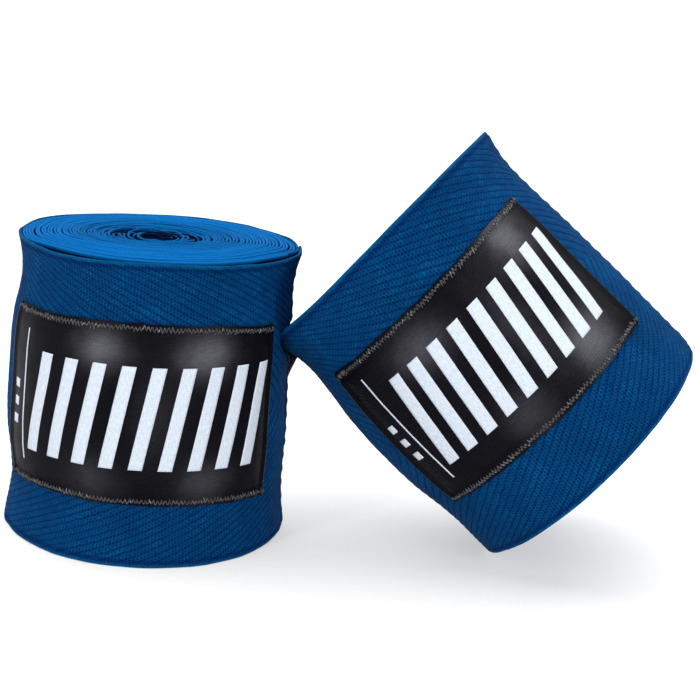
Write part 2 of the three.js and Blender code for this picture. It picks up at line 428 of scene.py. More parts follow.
# ------------------------------------------------------------------ materials
def cloth_material(name, pit, flo, tip, seed=0.0, loft=1.0, painted_rim_highlight=0.15, inner=1.0):
    """Herringbone-woven cotton: short floats in columns along steep ribs, mirrored at mid-width."""
    m = Nodes(name)
    u, v, off = m.split(m.attribute("strip").outputs["Vector"])
    uv = m.join(m.math("ADD", u, seed), v, 0.0)
    wob = m.noise(uv, 0.16, 2.0)
    wob2 = m.noise(uv, 0.7, 1.0)
    t = m.math("ABSOLUTE", m.math("SUBTRACT", v, H / 2))
    g = m.math("ADD", t, m.math("MULTIPLY", m.math("MULTIPLY", t, t), RIB_BEND))
    uw = m.math("ADD", u, m.math("MULTIPLY", m.math("SUBTRACT", wob, 0.5), 0.8))
    cell = m.math("DIVIDE", uw, COLUMN)
    fr = m.math("SUBTRACT", m.math("FRACT", cell), 0.5)
    dash_u = m.math("MULTIPLY_ADD", m.math("COSINE", m.math("MULTIPLY", fr, TAU)), 0.5, 0.5)  # 1 at a column's middle
    uc = m.math("MULTIPLY", m.math("ADD", m.math("FLOOR", cell), 0.5), COLUMN)
    jit = m.math("MULTIPLY", m.math("SUBTRACT", wob2, 0.5), 0.9)
    ph_c = m.math("ADD", m.math("DIVIDE", m.math("ADD", uc, g), RIB), jit)
    dash_v = m.math("MULTIPLY_ADD", m.math("COSINE", m.math("MULTIPLY", ph_c, TAU)), 0.5, 0.5)
    ph_t = m.math("ADD", m.math("DIVIDE", m.math("ADD", u, g), TWILL), m.math("MULTIPLY", jit, 0.35))
    groove = m.math("MULTIPLY_ADD", m.math("COSINE", m.math("MULTIPLY", ph_t, TAU)), 0.5, 0.5)
    fine = m.noise(m.join(u, m.math("MULTIPLY", v, 0.6), 0.0), 2.6, 3.0, 0.6)
    fibre = m.noise(uv, 9.0, 2.0, 0.7)
    force = m.noise(uv, 0.45, 2.0, 0.5)  # dashes show more in some places than others
    pit_ = m.ramp(m.math("ADD", m.math("MULTIPLY", dash_u, 0.95), m.math("ADD", dash_v, m.math("MULTIPLY", m.math("SUBTRACT", force, 0.5), 1.5))), 0.85, 1.9)
    d = m.math("SUBTRACT", H / 2, t)
    sel = m.ramp(d, 0.62, 0.30)
    seam = m.math("MULTIPLY", m.ramp(d, 0.45, 0.8), m.ramp(d, 1.5, 0.95))  # the sunk line under the bound edge
    pit_ = m.math("MULTIPLY", pit_, m.math("MULTIPLY_ADD", sel, -0.85, 1.0))
    groove = m.math("MULTIPLY", groove, m.math("MULTIPLY_ADD", sel, -0.7, 1.0))
    low = m.math("ADD", m.math("MULTIPLY", pit_, 0.56), m.math("MULTIPLY", groove, 0.30))
    low = m.math("ADD", low, m.math("MULTIPLY", seam, 0.34))
    height = m.math("SUBTRACT", 1.0, low)
    height = m.math("ADD", height, m.math("MULTIPLY", m.math("SUBTRACT", fine, 0.5), 0.85))
    height = m.math("ADD", height, m.math("MULTIPLY", m.math("SUBTRACT", fibre, 0.5), 0.25))
    shade = m.ramp(height, 0.12, 0.95)
    macro = m.noise(uv, 0.075, 2.0, 0.55)
    base = m.mix(shade, pit, flo)
    hue = m.noise(uv, 0.22, 2.0, 0.5)
    spark = m.ramp(m.math("ADD", height, m.math("MULTIPLY", m.math("SUBTRACT", hue, 0.5), 0.7)), 0.80, 1.28)
    base = m.mix(m.math("MULTIPLY", spark, 0.7), base, tip)
    tone = m.ramp(macro, 0.3, 0.72, 0.86, 1.14, smooth=False)
    base = m.mix(1.0, base, m.join(tone, tone, tone), "MULTIPLY")
    # painted highlight: the bound edges of the strip, the rims that face the overhead light, are painted paler and
    # greener
    base = m.mix(m.math("MULTIPLY", sel, painted_rim_highlight), base, tip)
    if inner < 1:
        # painted shade: a dark band just under the bound edge, where the gap between closure and roll lies in shadow,
        # and the inner turns darker towards the sunk middle of the roll
        painted_gap_shade = m.math("MULTIPLY", m.ramp(d, 0.34, 0.6), m.ramp(d, 1.7, 1.15))
        base = m.mix(m.math("MULTIPLY", painted_gap_shade, 0.85), base, tuple(0.35 * c for c in pit))
        painted_inner_shade = m.ramp(u, -2300.0, -1650.0, inner, 1.0)
        base = m.mix(1.0, base, m.join(painted_inner_shade, painted_inner_shade, painted_inner_shade), "MULTIPLY")
    m.put(m.bsdf.inputs["Base Color"], base)
    m.put(m.bsdf.inputs["Roughness"], m.ramp(height, 0.0, 1.0, 0.98, 0.85))
    m.bsdf.inputs["Specular IOR Level"].default_value = 0.03
    m.bsdf.inputs["Sheen Weight"].default_value = 0.012
    m.bsdf.inputs["Sheen Roughness"].default_value = 0.5
    m.bsdf.inputs["Sheen Tint"].default_value = (0.05, 0.5, 1.0, 1.0)
    m.put(m.bsdf.inputs["Normal"], m.bump(height, 0.00016 * loft, 0.85))
    return m.mat


def satin_material(name, painted_glints):
    """Black satin with soft pale patches of painted sheen highlight in its base colour; each patch is (u, v, half
    width, half height, amount).
    """
    m = Nodes(name)
    u, v, off = m.split(m.attribute("strip").outputs["Vector"])
    uv = m.join(u, v, 0.0)
    # fine floats of the satin, with a faint diagonal drift
    fl = m.math("SINE", m.math("MULTIPLY", m.math("ADD", v, m.math("MULTIPLY", u, 0.35)), TAU / 0.30))
    dg = m.math("SINE", m.math("MULTIPLY", m.math("ADD", m.math("MULTIPLY", v, 1.0), m.math("MULTIPLY", u, -1.4)), TAU / 0.9))
    n1 = m.noise(m.join(m.math("MULTIPLY", u, 0.35), m.math("MULTIPLY", v, 3.0), 0.0), 1.6, 3.0, 0.6)
    slub = m.noise(uv, 0.12, 2.0, 0.5)
    h = m.math("ADD", m.math("MULTIPLY", fl, 0.8), m.math("MULTIPLY", dg, 0.25))
    h = m.math("ADD", h, m.math("MULTIPLY", n1, 1.0))
    base = m.mix(m.ramp(n1, 0.25, 0.75), srgb(3, 3, 7), srgb(10, 10, 16))
    base = m.mix(m.ramp(dg, -1, 1, 0.0, 0.25), base, srgb(15, 15, 21))
    painted_sheen = None
    wav = m.noise(uv, 0.16, 2.0, 0.5)
    # painted highlight: each patch lightens the base colour where a sheen would be
    for gu, gv, su, sv, amt in painted_glints:
        a = m.math("DIVIDE", m.math("ADD", m.math("SUBTRACT", u, gu), m.math("MULTIPLY", m.math("SUBTRACT", wav, 0.5), 5.0)), su)
        b = m.math("DIVIDE", m.math("SUBTRACT", v, gv), sv)
        q = m.math("ADD", m.math("MULTIPLY", a, a), m.math("MULTIPLY", b, b))
        q = m.math("MULTIPLY", m.math("EXPONENT", m.math("MULTIPLY", q, -1.0)), amt)
        painted_sheen = q if painted_sheen is None else m.math("ADD", painted_sheen, q)
    thread = m.ramp(m.math("ADD", m.math("MULTIPLY", fl, 0.15), n1), 0.2, 0.85, 0.55, 1.0)
    # the painted sheen is mixed into the base colour, broken up by the threads
    base = m.mix(m.math("MULTIPLY", painted_sheen, thread, clamp=True), base, srgb(92, 92, 99))
    m.put(m.bsdf.inputs["Base Color"], base)
    m.put(m.bsdf.inputs["Roughness"], m.ramp(slub, 0.3, 0.7, 0.28, 0.42))
    m.bsdf.inputs["Specular IOR Level"].default_value = 0.035
    m.put(m.bsdf.inputs["Normal"], m.bump(h, 0.00004, 0.8))
    return m.mat


def print_material():
    m = Nodes("bar_print")
    u, v, off = m.split(m.attribute("strip").outputs["Vector"])
    uv = m.join(u, v, 0.0)
    rib = m.math("SINE", m.math("MULTIPLY", v, TAU / 0.34))
    n1 = m.noise(m.join(m.math("MULTIPLY", u, 2.2), m.math("MULTIPLY", v, 0.7), 0.0), 1.8, 3.0, 0.6)
    h = m.math("ADD", m.math("MULTIPLY", rib, 0.3), n1)
    base = m.mix(m.ramp(n1, 0.25, 0.8), srgb(176, 186, 197), srgb(202, 210, 219))
    base = m.mix(m.ramp(rib, -1, 1, 0.16, 0.0), base, srgb(140, 154, 170))
    m.put(m.bsdf.inputs["Base Color"], base)
    m.put(m.bsdf.inputs["Roughness"], m.ramp(n1, 0.2, 0.8, 0.48, 0.62))
    m.bsdf.inputs["Specular IOR Level"].default_value = 0.3
    m.put(m.bsdf.inputs["Normal"], m.bump(h, 0.00003, 0.7))
    return m.mat


def thread_material(name, dark, light, rough=0.62, marl=0.0):
    m = Nodes(name)
    u, v, off = m.split(m.attribute("strip").outputs["Vector"])
    tone = m.attribute("tone").outputs["Fac"]
    ply = m.math("SINE", m.math("MULTIPLY", m.math("ADD", u, m.math("MULTIPLY", v, 1.6)), TAU / 0.19))
    fuzz = m.noise(m.join(u, v, 0.0), 7.0, 2.0, 0.6)
    speck = m.ramp(m.noise(m.join(u, v, 3.0), 2.4, 2.0, 0.6), 0.44, 0.62, 1.0 - marl, 1.0)
    base = m.mix(m.math("MULTIPLY", tone, speck), dark, light)
    base = m.mix(m.ramp(ply, -1, 1, 0.30, 0.0), base, dark)
    base = m.mix(m.ramp(fuzz, 0.3, 0.8, 0.0, 0.25), base, light)
    m.put(m.bsdf.inputs["Base Color"], base)
    m.put(m.bsdf.inputs["Roughness"], m.ramp(fuzz, 0.2, 0.8, rough - 0.08, rough + 0.1))
    m.bsdf.inputs["Specular IOR Level"].default_value = 0.3
    m.bsdf.inputs["Sheen Weight"].default_value = 0.1
    m.put(m.bsdf.inputs["Normal"], m.bump(m.math("ADD", ply, fuzz), 0.00003, 0.6))
    return m.mat


def tape_material(name, dark, light, pitch, fuzzy):
    """Hook tape has rows of small nibs; loop tape is a brushed pile."""
    m = Nodes(name)
    u, v, off = m.split(m.attribute("strip").outputs["Vector"])
    uv = m.join(u, v, 0.0)
    a = m.math("SINE", m.math("MULTIPLY", u, TAU / pitch))
    b = m.math("SINE", m.math("MULTIPLY", v, TAU / pitch))
    nibs = m.ramp(m.math("MULTIPLY", a, b), 0.0, 0.8)
    pile = m.noise(uv, 3.2, 4.0, 0.7)
    tang = m.noise(m.join(m.math("MULTIPLY", u, 0.6), v, 0.0), 8.0, 3.0, 0.7)
    mixed = m.math("ADD", m.math("MULTIPLY", nibs, 1 - fuzzy), m.math("MULTIPLY", m.math("ADD", pile, tang), 0.5 * fuzzy + 0.08))
    m.put(m.bsdf.inputs["Base Color"], m.mix(m.ramp(mixed, 0.15, 0.85), dark, light))
    m.put(m.bsdf.inputs["Roughness"], m.ramp(mixed, 0, 1, 0.9, 0.62))
    m.bsdf.inputs["Specular IOR Level"].default_value = 0.04
    m.bsdf.inputs["Sheen Weight"].default_value = 0.05 * fuzzy
    m.put(m.bsdf.inputs["Normal"], m.bump(mixed, 0.00025, 0.9))
    return m.mat


PIT = srgb(0, 26, 70)
FLO = srgb(0, 50, 93)
TIP = srgb(0, 84, 126)
CLOTH = cloth_material("wrap_weave", PIT, FLO, TIP)
# painted light: the roll's copy of the weave has paler floats and tips than the cloth for the light on the roll's top,
# a strong painted highlight on its bound edges, and painted shade under the rim and in the middle of the roll
ROLL_PAINTED_LIGHT = cloth_material("wrap_weave_roll_painted_light", srgb(0, 24, 70), srgb(0, 62, 116), srgb(0, 92, 156), 31.0, 1.0, 0.8, 0.78)
# painted highlights: the soft sheen patches of each label, painted into its base colour
SATIN = {
    "left": satin_material("satin_black_left", [
        (-8.5, 36.6, 3.3, 2.8, 1.0), (9.0, 36.4, 3.8, 3.2, 0.95), (-9.0, 14.6, 4.0, 3.4, 0.25), (9.5, 14.4, 3.8, 3.6, 0.35),
        (-25.0, 24.0, 2.2, 12.0, 0.18), (0.5, 26.0, 3.0, 8.0, 0.12)]),
    "right": satin_material("satin_black_right", [
        (12.5, 39.4, 3.6, 4.2, 1.0), (-10.0, 37.0, 4.4, 3.4, 0.55), (10.5, 17.6, 3.8, 4.4, 1.0), (-5.0, 17.0, 3.5, 4.0, 0.28),
        (3.0, 29.0, 3.0, 8.0, 0.2)]),
}
PRINT = print_material()
OVERLOCK = thread_material("overlock_thread", srgb(7, 7, 10), srgb(150, 152, 156), marl=1.0)
BLACK_THREAD = thread_material("black_thread", srgb(10, 10, 13), srgb(40, 40, 46))
BLUE_THREAD = thread_material("blue_thread", srgb(3, 52, 110), srgb(16, 100, 168))
HOOK = tape_material("hook_tape", srgb(4, 4, 7), srgb(24, 24, 29), 1.3, 0.1)
LOOP = tape_material("loop_tape", srgb(0, 32, 84), srgb(2, 62, 118), 1.5, 1.0)


def dress(o, mat):
    o.data.materials.clear()
    o.data.materials.append(mat)
    return o


# ------------------------------------------------------------------ pieces of one wrap
EYE = {"left": (-0.9, 2.6), "right": (-0.25, 0.2)}  # centre of the roll, off the axis, mm
TIP_RISE = 1.9  # the leaning wrap's upper rim stands higher at the front, mm


def build_roll(w):
    """The rolled strip from its inner end to the start of the outermost turn, a true spiral."""
    end = -290.0
    rho, psi = (22.05 if w.left else 22.72), end
    rs, ps = [rho], [psi]
    while rho > 3.1:
        step = min(1.25, 0.15 * rho)  # mm along the cloth
        dpsi = math.degrees(step / rho)
        pitch = 0.495 + 0.42 * float(1 - sstep(4.0, 9.5, rho))
        rho -= pitch * dpsi / 360
        psi -= dpsi
        rs.append(rho)
        ps.append(psi)
    rs, ps = np.array(rs[::-1]), np.array(ps[::-1])
    n = len(rs)
    ds = np.concatenate([[0], np.hypot(np.diff(rs), np.radians(np.diff(ps)) * (rs[1:] + rs[:-1]) / 2)])
    s = np.cumsum(ds)
    s = s - s[-1] + end * 0.43
    turn = ps / 360.0
    out = (rs / rs[-1])
    seed = Noise(w.seed + 20)
    seed2 = Noise(w.seed + 21)
    # the turns spread to fill the cloth around them; the middle of the roll sits off centre
    cx, cy = EYE[w.side]
    grow = np.clip((rs - 6.0) / 15.5, 0, 1)
    az_w = np.mod(ps + 270, 360) - 270
    back_az = 70 - az_w
    x0, y0 = rs * np.sin(np.radians(ps)) + cx * (1 - grow), -rs * np.cos(np.radians(ps)) + cy * (1 - grow)
    k = np.floor(turn)
    jag = seed(ps / 47.0, turn * 0.9) * 0.13 + seed2(ps / 15.0, turn * 1.7) * 0.05
    loose = 1 - sstep(5, 12, rs)
    if w.left:
        dish = 1 - sstep(0.62, 1.05, np.hypot((x0 + 0.5) / 12.5, (y0 - 2.5) / 10.5))
        top = w.z0 + w.h - 0.16 + 0.28 * sstep(14, -16, y0) + 0.42 * (1 - sstep(19.0, 22.3, rs)) - 0.62 * dish - 0.3 * (1 - sstep(3, 6.5, rs))
    else:
        dish = 1 - sstep(8.2, 12.8, rs)
        top = w.z0 + w.h - 0.75 + 0.25 * (1 - sstep(19.3, 22.3, rs)) - 1.2 * dish - 0.5 * (1 - sstep(3, 6.5, rs))
        top = top + TIP_RISE * np.cos(np.radians(ps)) * rs / 25.0
    top = top + jag * (0.9 + 1.5 * loose + 1.3 * dish)
    if w.left:
        bot = 0.12 + 0.10 * np.abs(seed(ps / 40.0, turn * 0.8 + 30)) + 0.35 * (1 - sstep(8.2, 12.8, rs))
    else:
        bot = w.z0 + 0.55 - 0.4 * np.exp(-(((rs - 17) / 4.5) ** 2)) - 1.2 * (1 - sstep(8.2, 12.8, rs)) + seed(ps / 40.0, turn * 0.8 + 30) * 0.22
        bot = np.maximum(bot, w.z0 - 0.25)
    th = 0.42
    up = np.radians([62, 30, 0, -30, -62])
    zo = np.array([0.0, 0.04, 0.10, 0.2, 0.35, 0.5, 0.65, 0.8, 0.90, 0.96, 1.0])
    nz = len(zo)
    offs = np.concatenate([np.full(nz, 0.5), 0.572 * np.sin(up), np.full(nz, -0.5), 0.572 * np.sin(-up)]) * th
    frac = np.concatenate([zo, np.ones(5), zo[::-1], np.zeros(5)])
    cap = np.concatenate([np.zeros(nz), 0.34 * np.cos(up), np.zeros(nz), -0.34 * np.cos(up)])
    Z = (bot + 0.34)[:, None] + (top - bot - 0.68)[:, None] * frac[None, :] + cap[None, :]
    AZ = np.broadcast_to(ps[:, None], Z.shape)
    wob = 0.16 * seed(ps / 61.0, rs / 3.4) * (1 - sstep(20.5, 22, rs))
    wob = wob + loose * 0.16 * seed2(ps / 70.0, rs / 1.8)
    zz = np.clip(Z, w.z0 + 0.7, w.z0 + w.h - 0.7)
    AW = np.broadcast_to(az_w[:, None], Z.shape)
    rs0 = 22.05 if w.left else 22.72
    spread = radius(w, AW, zz) - 0.80 - room(w, AW, zz) - (rs0 - 0.55 * back_az / 360)[:, None]
    R = rs[:, None] + wob[:, None] + grow[:, None] * spread
    P = local(AZ, R + offs[None, :], Z)
    oval = (1 - sstep(3.0, 8.5, rs))[:, None]
    P[..., 0] = P[..., 0] * (1 - 0.10 * oval) + cx * (1 - grow)[:, None]
    P[..., 1] = P[..., 1] * (1 + 0.06 * oval) + cy * (1 - grow)[:, None]
    Pw = w.world(P)
    at = {"strip": np.stack([np.broadcast_to(s[:, None], Z.shape), (Z - w.z0) / w.h * H, np.broadcast_to(offs, Z.shape)], -1).reshape(-1, 3)}
    o = new_object(w.side + "_roll_cloth", Pw.reshape(-1, 3), loops_mesh(Pw), at)
    length = float(s[-1] - s[0])
    return o, length, rs, ps


def turn_surface(w, az0, az1, name, du, dz):
    """A length of the outermost turn, woven face finely meshed."""
    n = int(abs(az1 - az0) * 0.43 / du) + 1
    az = np.linspace(az0, az1, n)
    th = 0.50
    n_out = int(w.h / dz) + 1
    off, z = profile(w.z0, w.z0 + w.h, th, n_out, 44, lip=0.05, edge=0.30)
    A, Z0 = np.meshgrid(az, z, indexing="ij")
    f = (Z0 - w.z0) / w.h
    wave_t = 0.26 * w.n2(A / 33.0, 5.5) + 0.10 * w.n3(A / 11.0, 2.5)
    wave_b = 0.10 * w.n2(A / 33.0, 15.5) + 0.05 * w.n3(A / 11.0, 12.5)
    if w.left:
        wave_b = np.abs(wave_b)
    else:
        wave_t = wave_t * 0.6 + TIP_RISE * np.cos(np.radians(A)) + 0.9 * np.exp(-(((A + 72) / 24.0) ** 2))
    Z = Z0 + wave_t * f ** 3 + wave_b * (1 - f) ** 3
    OFF = np.broadcast_to(off, A.shape)
    u = A * math.radians(1) * 24.6
    v = f * H
    outer = sstep(0.2, 0.5, OFF / th) * (1 - np.exp(-(np.minimum(v, H - v) / 1.2) ** 2))
    relief = 0.07 * (rib_height(u, v) - 0.5) * outer
    R = radius(w, A, Z) - th / 2 + OFF + relief
    P = local(A, R, Z)
    P = w.world(P)
    at = {"strip": np.stack([u, v, OFF], -1).reshape(-1, 3)}
    return new_object(name, P.reshape(-1, 3), loops_mesh(P), at)


def label_bump(w):
    na, nb, nc = Noise(w.seed + 40), Noise(w.seed + 41), Noise(w.seed + 42)
    z0, z1 = LABEL_Z[w.side]
    a0, a1 = LABEL_AZ[w.side]

    def f(A, Z):
        u = A * 0.43
        edge = np.minimum(np.minimum(Z - z0, z1 - Z), np.minimum(A - a0, a1 - A) * 0.43)
        free = sstep(0.3, 4.0, edge)
        low = 0.30 * na(u / 9.0, Z / 17.0) + 0.14 * nb(u / 4.2, Z / 9.0)
        # sewn edges pull small puckers into the satin
        pk = np.exp(-(np.minimum(Z - z0, z1 - Z) / 2.6) ** 2) * 0.07 * nc(u / 0.95, (Z > 25) * 5.0 + Z / 5.0)
        fold = 0.22 * (np.exp(-(((A - a0) * 0.43 - 0.5) / 0.45) ** 2) + np.exp(-(((a1 - A) * 0.43 - 0.5) / 0.45) ** 2))
        crease = -0.10 * (np.exp(-(((A - a0) * 0.43 - 1.5) / 0.35) ** 2) + np.exp(-(((a1 - A) * 0.43 - 1.5) / 0.35) ** 2))
        seam = -0.10 * np.exp(-((np.minimum(Z - z0, z1 - Z) - 1.6) / 0.35) ** 2)
        return 0.18 + 0.42 * free * (0.55 + low) + pk + fold + crease + seam

    return f


FREE = 90.0  # azimuth of the closure's free end
LABEL_AZ = {"left": (-68.0, 54.5), "right": (-65.0, 49.0)}
LABEL_Z = {"left": (10.3, 40.7), "right": (12.6, 43.0)}


def label_top(w, az):
    """How far the label's top edge stands above or below a straight line, mm."""
    if not w.left:
        return 0.0 * az
    return 0.65 * np.exp(-(((az + 2) / 34.0) ** 2)) - 0.6 * sstep(22, 56, az)


def label_bottom(w, az):
    return -0.45 * sstep(15, 55, az) if w.left else 0.0 * az


def label_surface(w):
    """Outer face of the label as a function of azimuth and height."""
    bump = label_bump(w)
    return lambda A, Z: radius(w, A, Z) + 0.02 + 0.24 + bump(A, Z)


def patches(w, name, quads, thick=0.05, du=0.45):
    """Thin flat marks on the label. Each quad is four (u mm, z) corners, anticlockwise from lower left."""
    face = label_surface(w)
    V, F, S, at = [], [], 0, []
    for q in quads:
        q = np.asarray(q, float)
        wd = np.linalg.norm(q[1] - q[0])
        ht = np.linalg.norm(q[3] - q[0])
        nu, nv = max(3, int(wd / du) + 2), max(3, int(ht / du) + 2)
        s, t = np.meshgrid(np.linspace(0, 1, nu), np.linspace(0, 1, nv), indexing="ij")
        uv = (
            q[0] * ((1 - s) * (1 - t))[..., None] + q[1] * (s * (1 - t))[..., None]
            + q[2] * (s * t)[..., None] + q[3] * ((1 - s) * t)[..., None]
        )
        A = uv[..., 0] / 0.43
        Z = uv[..., 1]
        R = face(A, Z)
        top = w.world(local(A, R + thick, Z)).reshape(-1, 3)
        bot = w.world(local(A, R - 0.06, Z)).reshape(-1, 3)
        n = nu * nv
        idx = np.arange(n).reshape(nu, nv)
        a = np.stack([idx[:-1, :-1], idx[1:, :-1], idx[1:, 1:], idx[:-1, 1:]], -1).reshape(-1, 4)
        b = a[:, ::-1] + n
        ringi = np.concatenate([idx[:, 0], idx[-1, 1:], idx[::-1, -1][1:], idx[0, ::-1][1:-1]])
        r2 = np.roll(ringi, -1)
        sides = np.stack([r2, ringi, ringi + n, r2 + n], -1)
        V += [top, bot]
        F += [a + S, b + S, sides + S]
        at += [np.stack([uv[..., 0].ravel(), uv[..., 1].ravel(), np.zeros(n)], -1)] * 2
        S += 2 * n
    return new_object(name, np.concatenate(V), [np.concatenate(F)], {"strip": np.concatenate(at)})


def overlock(w, name, zc, up):
    """Overlock thread along a long edge of the label: slanting stitches, pale and dark by turns."""
    a0, a1 = LABEL_AZ[w.side]
    pitch = 0.66
    u0, u1 = a0 * 0.43 + 0.6, a1 * 0.43 - 0.5
    n = int((u1 - u0) / pitch)
    rng = np.random.RandomState(w.seed + (5 if up > 0 else 6))
    uc = u0 + (np.arange(n) + 0.5) * (u1 - u0) / n + rng.uniform(-0.06, 0.06, n)
    pts = np.linspace(0, 1, 7)
    face = label_surface(w)
    rows_u, rows_v, tones, rads, lifts = [], [], [], [], []
    prof = np.array([0.45, 0.85, 1.0, 1.05, 1.0, 0.85, 0.45])
    arch = np.array([-0.10, 0.05, 0.13, 0.16, 0.13, 0.05, -0.10])
    for i, c in enumerate(uc):
        slant = 0.26 + rng.uniform(-0.10, 0.10)
        lo, hi = -1.20 + rng.uniform(-0.25, 0.2), -0.25 + rng.uniform(-0.2, 0.12)
        t = lo + (hi - lo) * pts
        rows_u.append(c + slant * (pts - 0.5) * 1.6)
        off = float(label_top(w, np.array(c / 0.43)) if up > 0 else label_bottom(w, np.array(c / 0.43)))
        rows_v.append(zc + off + up * t)
        tones.append(rng.uniform(0.0, 0.2) if rng.uniform() < 0.5 else rng.uniform(0.3, 0.8))
        rads.append(0.095 * prof)
        lifts.append(arch)
        # the dark thread crosses back between two pale ones
        rows_u.append(c + 0.33 - slant * (pts - 0.5) * 1.5)
        rows_v.append(zc + off + up * (t * 0.92))
        tones.append(0.04 + rng.uniform(0, 0.12))
        rads.append(0.125 * prof)
        lifts.append(arch - 0.05)
    U = np.array(rows_u) / 0.43
    return capsules(w, name, U, np.array(rows_v), np.array(lifts), np.array(rads), tone=tones, surf=face)


def border_path(az0, az1, z0, z1, inset, pitch, gap):
    """Lockstitches round a rectangle: azimuth and height rows."""
    c = [(az0 * 0.43 + inset, z0 + inset), (az1 * 0.43 - inset, z0 + inset), (az1 * 0.43 - inset, z1 - inset), (az0 * 0.43 + inset, z1 - inset)]
    U, V = [], []
    t = np.linspace(0, 1, 6)
    for i in range(4):
        (ua, va), (ub, vb) = c[i], c[(i + 1) % 4]
        L = math.hypot(ub - ua, vb - va)
        n = max(2, int(L / pitch))
        for j in range(n):
            s0 = (j + gap / 2) / n
            s1 = (j + 1 - gap / 2) / n
            s = s0 + (s1 - s0) * t
            U.append((ua + (ub - ua) * s) / 0.43)
            V.append(va + (vb - va) * s)
    return np.array(U), np.array(V)


ARCH6 = np.array([-0.10, 0.02, 0.07, 0.07, 0.02, -0.10])
PROF6 = np.array([0.5, 0.9, 1.0, 1.0, 0.9, 0.5])


